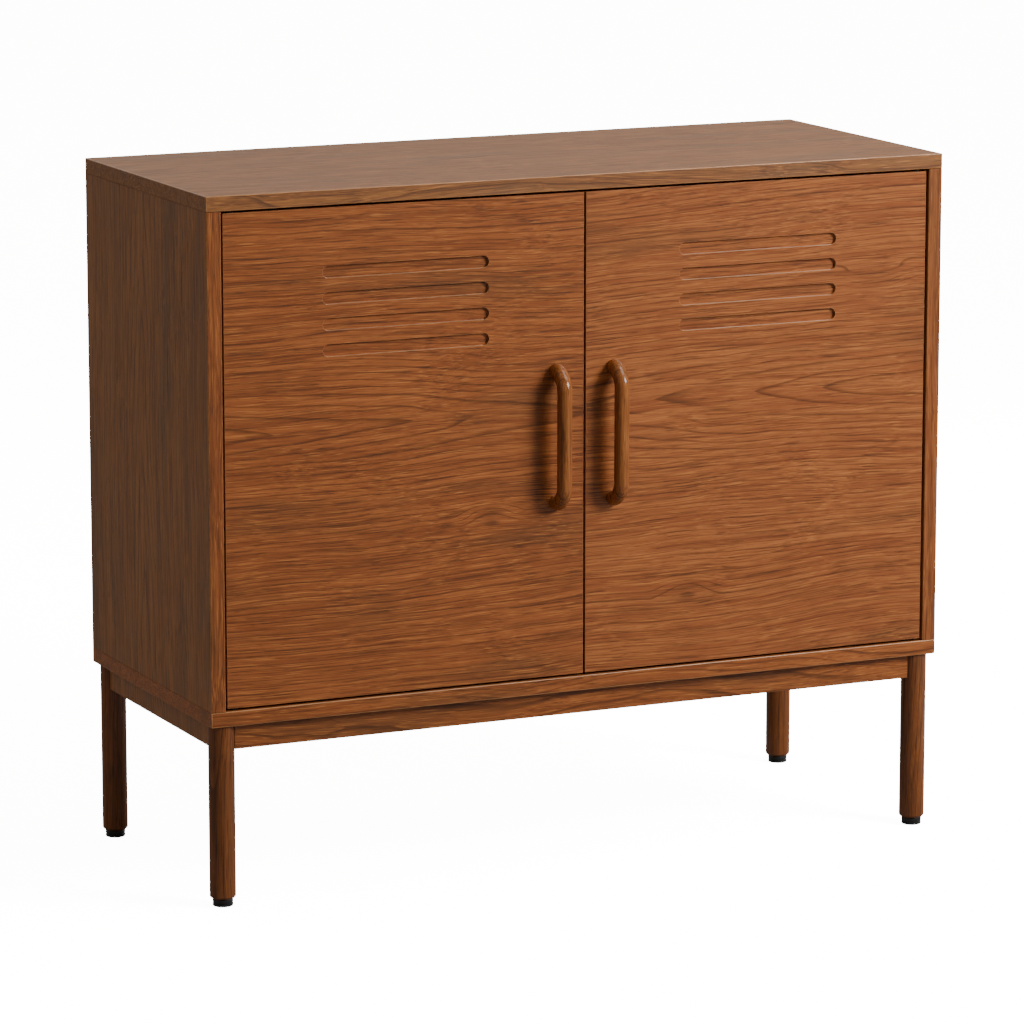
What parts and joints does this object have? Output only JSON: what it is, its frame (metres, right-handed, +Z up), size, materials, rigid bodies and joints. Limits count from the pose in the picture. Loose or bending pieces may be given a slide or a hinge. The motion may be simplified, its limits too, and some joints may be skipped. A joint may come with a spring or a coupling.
{
  "type": "shoe cabinet",
  "caption": "Low walnut-veneered shoe cabinet on round legs, with inset hinged doors, wooden bar handles, routed decorative slots and shelves inside.",
  "frame": {"origin": "on the floor, at the centre of the footprint that includes the handles", "axes": "+X along the width, to the right seen from the front; +Y to the rear; +Z up; the doors face -Y"},
  "size_m": [0.8, 0.3556, 0.7],
  "materials": {
    "walnut_along": "satin lacquered walnut veneer, grain along the width",
    "walnut_side": "satin lacquered walnut veneer, upright grain",
    "walnut_turned": "satin lacquered turned walnut",
    "back_board": "matt walnut-faced thin board",
    "steel": "zinc plated",
    "black_plastic": "moulded, satin",
    "brown_plastic": "moulded, satin"
  },
  "bodies": {
    "carcass": {"top_panel": "walnut_along", "bottom_panel": "walnut_along", "left_side_panel": "walnut_side", "right_side_panel": "walnut_side", "back_panel": "back_board", "upper_shelf": "walnut_along", "lower_shelf": "walnut_along", "front_apron": "walnut_along", "rear_apron": "walnut_along", "left_apron": "walnut_side", "right_apron": "walnut_side", "magnetic_catch_left": "brown_plastic", "magnetic_catch_right": "brown_plastic", "leg_front_left": "walnut_turned", "leg_front_right": "walnut_turned", "leg_rear_left": "walnut_turned", "leg_rear_right": "walnut_turned", "leg_bolt_front_left": "steel", "leg_bolt_front_right": "steel", "leg_bolt_rear_left": "steel", "leg_bolt_rear_right": "steel", "top_pivot_pin_left": "steel", "top_pivot_pin_right": "steel", "bottom_pivot_pin_left": "steel", "bottom_pivot_pin_right": "steel", "upper_shelf_pin_front_left": "steel", "upper_shelf_pin_front_right": "steel", "upper_shelf_pin_rear_left": "steel", "upper_shelf_pin_rear_right": "steel", "lower_shelf_pin_front_left": "steel", "lower_shelf_pin_front_right": "steel", "lower_shelf_pin_rear_left": "steel", "lower_shelf_pin_rear_right": "steel"},
    "left_door": {"left_door": "walnut_along", "left_handle": "walnut_turned", "left_handle_screw_upper": "steel", "left_handle_screw_lower": "steel", "strike_plate_left": "steel", "top_pivot_bush_left": "black_plastic", "bottom_pivot_bush_left": "black_plastic"},
    "right_door": {"right_door": "walnut_along", "right_handle": "walnut_turned", "right_handle_screw_upper": "steel", "right_handle_screw_lower": "steel", "strike_plate_right": "steel", "top_pivot_bush_right": "black_plastic", "bottom_pivot_bush_right": "black_plastic"},
    "foot_front_left": {"foot_pad_front_left": "black_plastic", "foot_stud_front_left": "steel"},
    "foot_front_right": {"foot_pad_front_right": "black_plastic", "foot_stud_front_right": "steel"},
    "foot_rear_left": {"foot_pad_rear_left": "black_plastic", "foot_stud_rear_left": "steel"},
    "foot_rear_right": {"foot_pad_rear_right": "black_plastic", "foot_stud_rear_right": "steel"}
  },
  "joints": [
    {"name": "left_door_hinge", "type": "hinge", "parent": "carcass", "child": "left_door", "pos_m": [-0.3735, -0.14425, 0.199], "axis": [0, 0, -1], "range_deg": [0, 110]},
    {"name": "right_door_hinge", "type": "hinge", "parent": "carcass", "child": "right_door", "pos_m": [0.3735, -0.14425, 0.199], "axis": [0, 0, 1], "range_deg": [0, 110]},
    {"name": "foot_front_left_height", "type": "slide", "parent": "carcass", "child": "foot_front_left", "axis": [0, 0, -1], "range_m": [0, 0.01]},
    {"name": "foot_front_right_height", "type": "slide", "parent": "carcass", "child": "foot_front_right", "axis": [0, 0, -1], "range_m": [0, 0.01]},
    {"name": "foot_rear_left_height", "type": "slide", "parent": "carcass", "child": "foot_rear_left", "axis": [0, 0, -1], "range_m": [0, 0.01]},
    {"name": "foot_rear_right_height", "type": "slide", "parent": "carcass", "child": "foot_rear_right", "axis": [0, 0, -1], "range_m": [0, 0.01]}
  ]
}
